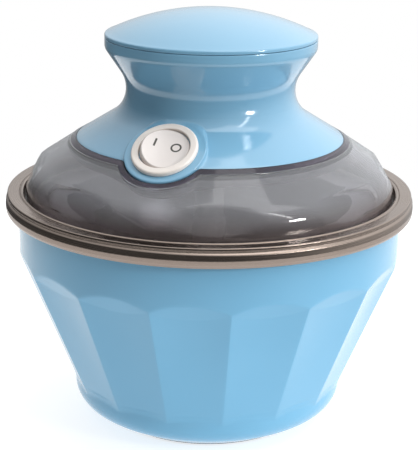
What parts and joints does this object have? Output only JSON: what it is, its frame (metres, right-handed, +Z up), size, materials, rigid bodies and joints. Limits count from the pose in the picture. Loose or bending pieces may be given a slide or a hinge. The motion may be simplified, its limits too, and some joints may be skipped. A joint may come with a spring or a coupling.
{
  "type": "ice cream maker",
  "caption": "Countertop single-serve ice cream maker: faceted freezer canister with a steel rim, smoky clear domed lid and hourglass motor unit with a round rocker switch.",
  "frame": {"origin": "on the floor at the centre of the foot, which is the centre of the round body", "axes": "+Z up along the machine's axis, -Y towards the rocker switch, +Y towards the cord entry"},
  "size_m": [0.178, 0.178, 0.1813],
  "materials": {
    "canister_blue": "gloss",
    "housing_blue": "gloss",
    "rim_steel": "brushed",
    "bowl_aluminium": "satin",
    "gel": "gloss",
    "silicone": "matte",
    "foot_rubber": "matte",
    "plug_plastic": "satin",
    "smoky_plastic": "gloss",
    "nylon": "satin",
    "charcoal_plastic": "satin",
    "cream_plastic": "satin",
    "plated_steel": "satin",
    "motor_steel": "satin",
    "brass": "satin",
    "copper_wire": "gloss",
    "ferrite": "matte",
    "brown_insulation": "satin",
    "blue_insulation": "satin",
    "paddle_white": "satin"
  },
  "bodies": {
    "canister": {"outer_shell": "canister_blue", "inner_bowl": "bowl_aluminium", "coolant_gel": "gel", "rim_ring": "rim_steel", "rim_gasket": "silicone", "foot_ring": "foot_rubber", "fill_plug": "plug_plastic"},
    "lid": {"lid": "smoky_plastic", "lid_bush": "nylon"},
    "paddle": {"paddle": "paddle_white"},
    "output": {"output_gear": "nylon", "output_shaft": "plated_steel", "output_clip": "plated_steel"},
    "layshaft": {"compound_gear": "nylon"},
    "rotor": {"rotor_magnet": "ferrite", "rotor_shaft": "plated_steel", "rotor_pinion": "brass"},
    "rocker": {"switch_rocker": "cream_plastic"},
    "motor_unit": {"motor_housing": "housing_blue", "top_cap": "housing_blue", "base_plate": "charcoal_plastic", "base_screws": "plated_steel", "switch_bezel": "cream_plastic", "switch_body": "charcoal_plastic", "switch_terminals": "brass", "cord_gland": "foot_rubber", "gearbox_base": "nylon", "gearbox_cover": "nylon", "gearbox_screws": "plated_steel", "gearbox_mount_screws": "plated_steel", "output_bush": "brass", "layshaft_pin": "plated_steel", "motor_endplate": "motor_steel", "motor_can": "motor_steel", "motor_screws": "plated_steel", "stator_plate_lower": "motor_steel", "stator_plate_upper": "motor_steel", "coil_bobbin": "nylon", "stator_coil": "copper_wire", "rotor_bushes": "brass", "terminal_block": "nylon", "cable_clamp": "nylon", "clamp_screws": "plated_steel", "switch_leads": "brown_insulation", "motor_leads": "blue_insulation"}
  },
  "joints": [
    {"name": "lid_lift", "type": "slide", "parent": "canister", "child": "lid", "axis": [0, 0, 1], "range_m": [0, 0.12]},
    {"name": "motor_lift", "type": "slide", "parent": "lid", "child": "motor_unit", "axis": [0, 0, 1], "range_m": [0, 0.1]},
    {"name": "switch_rock", "type": "hinge", "parent": "motor_unit", "child": "rocker", "pos_m": [0, -0.05084, 0.13017], "axis": [0, -0.829, -0.5592], "range_deg": [0, 20]},
    {"name": "paddle_spin", "type": "hinge", "parent": "canister", "child": "paddle", "pos_m": [0, 0, 0.06], "axis": [0, 0, 1], "continuous": true},
    {"name": "output_spin", "type": "hinge", "parent": "motor_unit", "child": "output", "pos_m": [0, 0, 0.125], "axis": [0, 0, 1], "continuous": true},
    {"name": "layshaft_spin", "type": "hinge", "parent": "motor_unit", "child": "layshaft", "pos_m": [0.018, 0, 0.132], "axis": [0, 0, 1], "continuous": true},
    {"name": "rotor_spin", "type": "hinge", "parent": "motor_unit", "child": "rotor", "pos_m": [0, 0, 0.15], "axis": [0, 0, 1], "continuous": true}
  ],
  "couplings": [
    {"joint": "layshaft_spin", "follows": "rotor_spin", "ratio": -0.25},
    {"joint": "output_spin", "follows": "rotor_spin", "ratio": 0.0625},
    {"joint": "paddle_spin", "follows": "rotor_spin", "ratio": 0.0625}
  ]
}
